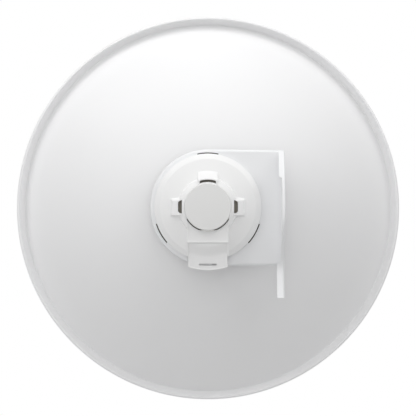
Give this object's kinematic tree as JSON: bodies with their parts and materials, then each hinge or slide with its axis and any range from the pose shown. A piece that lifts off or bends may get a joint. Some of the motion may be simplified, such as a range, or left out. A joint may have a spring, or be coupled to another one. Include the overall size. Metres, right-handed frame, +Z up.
{
  "type": "wireless bridge dish antenna",
  "caption": "Round white dish reflector with a central feed, a round rear housing with a port cover, and a folded steel side bracket that bolts to a mast bracket.",
  "frame": {"origin": "on the outer flat face of the bracket's side wing, level with the dish axis", "axes": "+X out of the wing's outer face, +Y forward along the beam, +Z up"},
  "size_m": [0.42, 0.2043, 0.42],
  "materials": {
    "dish_coating": "matte white powder coat",
    "bracket_coating": "satin white powder coat",
    "shell_plastic": "fine matte white outdoor plastic",
    "cap_plastic": "matte light grey outdoor plastic",
    "feed_plastic": "satin white outdoor plastic",
    "seal_rubber": "matte dark rubber",
    "latch_plastic": "matte dark plastic",
    "plated_steel": "bright zinc plate",
    "spun_aluminium": "spun, satin"
  },
  "bodies": {
    "root": {"dish_reflector": "dish_coating", "mounting_bracket": "bracket_coating", "hub_spacer": "shell_plastic", "rear_housing": "shell_plastic", "port_hood": "shell_plastic", "port_cover": "shell_plastic", "seal_ring": "seal_rubber", "feed_latch_top": "latch_plastic", "feed_latch_left": "latch_plastic", "feed_latch_right": "latch_plastic", "feed_body": "feed_plastic", "end_cap": "cap_plastic", "ethernet_jack": "plated_steel", "front_collar": "feed_plastic", "feed_tube": "feed_plastic", "feed_radome": "feed_plastic", "sub_reflector": "spun_aluminium", "front_cap": "feed_plastic", "hub_bolt_1": "plated_steel", "hub_nut_1": "plated_steel", "hub_bolt_2": "plated_steel", "hub_nut_2": "plated_steel", "hub_bolt_3": "plated_steel", "hub_nut_3": "plated_steel", "hub_bolt_4": "plated_steel", "hub_nut_4": "plated_steel"}
  },
  "joints": []
}
